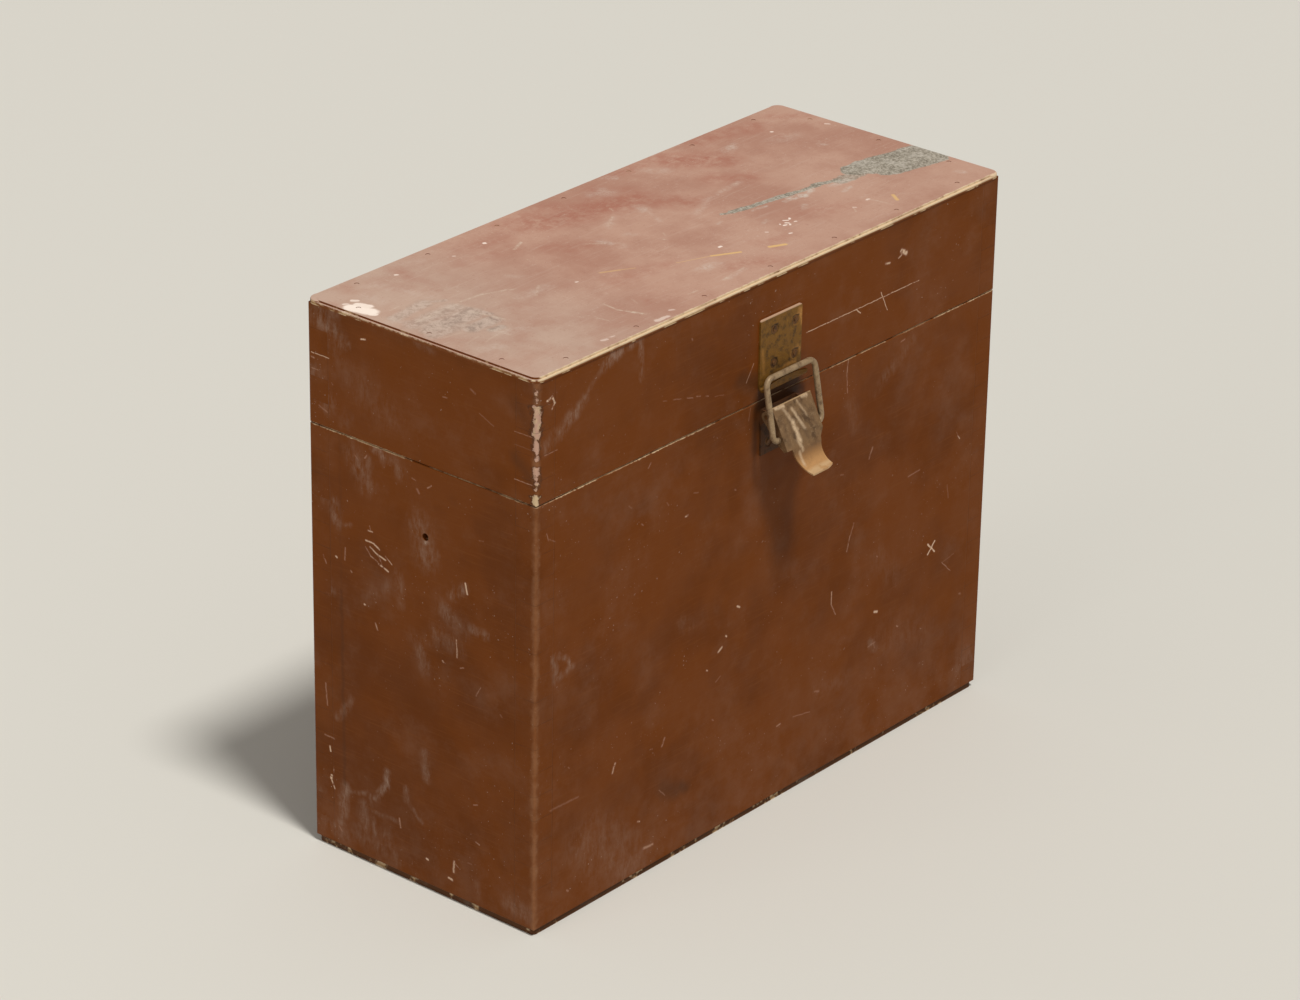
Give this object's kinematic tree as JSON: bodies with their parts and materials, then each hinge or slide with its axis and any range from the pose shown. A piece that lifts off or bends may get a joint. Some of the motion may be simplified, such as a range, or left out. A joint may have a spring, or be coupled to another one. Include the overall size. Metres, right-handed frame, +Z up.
{
  "type": "sewing machine attachment box",
  "caption": "Tall, shallow wooden box with finger-jointed corners, a hinged lid sawn off the same box and a rusty draw latch at the front, for storing sewing machine attachments.",
  "frame": {"origin": "centre of the box's outline at the underside of the bottom panel", "axes": "X to the right along the front, Y from the front to the back, Z up"},
  "size_m": [0.4162, 0.2085, 0.344],
  "materials": {
    "painted_wood": "thin brown-red paint over softwood, worn at the edges",
    "painted_plywood": "dusty faded red-brown paint, scratched and peeling",
    "plywood": "bare plywood, grey with age",
    "rusty_steel": "sheet steel with a brown film of rust",
    "worn_steel": "sheet steel, rusty with rubbed paler streaks",
    "link_wire": "dull steel wire with light rust",
    "hinge_steel": "dull steel with light rust",
    "steel": "dull steel"
  },
  "bodies": {
    "case": {"body_front_board": "painted_wood", "body_back_board": "painted_wood", "body_left_board": "painted_wood", "body_right_board": "painted_wood", "bottom_panel": "plywood", "bottom_brads": "steel", "left_hinge_body_leaf": "hinge_steel", "left_hinge_pin": "hinge_steel", "right_hinge_body_leaf": "hinge_steel", "right_hinge_pin": "hinge_steel", "body_hinge_screws": "steel", "latch_base": "rusty_steel", "latch_base_nails": "rusty_steel", "latch_pivot_pin": "steel"},
    "lid": {"lid_front_board": "painted_wood", "lid_back_board": "painted_wood", "lid_left_board": "painted_wood", "lid_right_board": "painted_wood", "top_panel": "painted_plywood", "top_brads": "painted_plywood", "left_hinge_lid_leaf": "hinge_steel", "right_hinge_lid_leaf": "hinge_steel", "lid_hinge_screws": "steel", "keeper_plate": "rusty_steel", "keeper_nails": "rusty_steel"},
    "lever": {"latch_lever": "worn_steel"},
    "link": {"latch_link": "link_wire"}
  },
  "joints": [
    {"name": "lid_hinge", "type": "hinge", "parent": "case", "child": "lid", "pos_m": [0, 0.08795, 0.2682], "axis": [-1, 0, 0], "range_deg": [0, 180]},
    {"name": "lever_pivot", "type": "hinge", "parent": "case", "child": "lever", "pos_m": [0.0008, -0.0905, 0.26], "axis": [-1, 0, 0], "range_deg": [-22, 70]},
    {"name": "link_eyes", "type": "hinge", "parent": "lever", "child": "link", "pos_m": [0.0008, -0.1003, 0.2485], "axis": [-1, 0, 0], "range_deg": [-70, 22]}
  ],
  "couplings": [
    {"joint": "link_eyes", "follows": "lever_pivot", "ratio": -1}
  ]
}
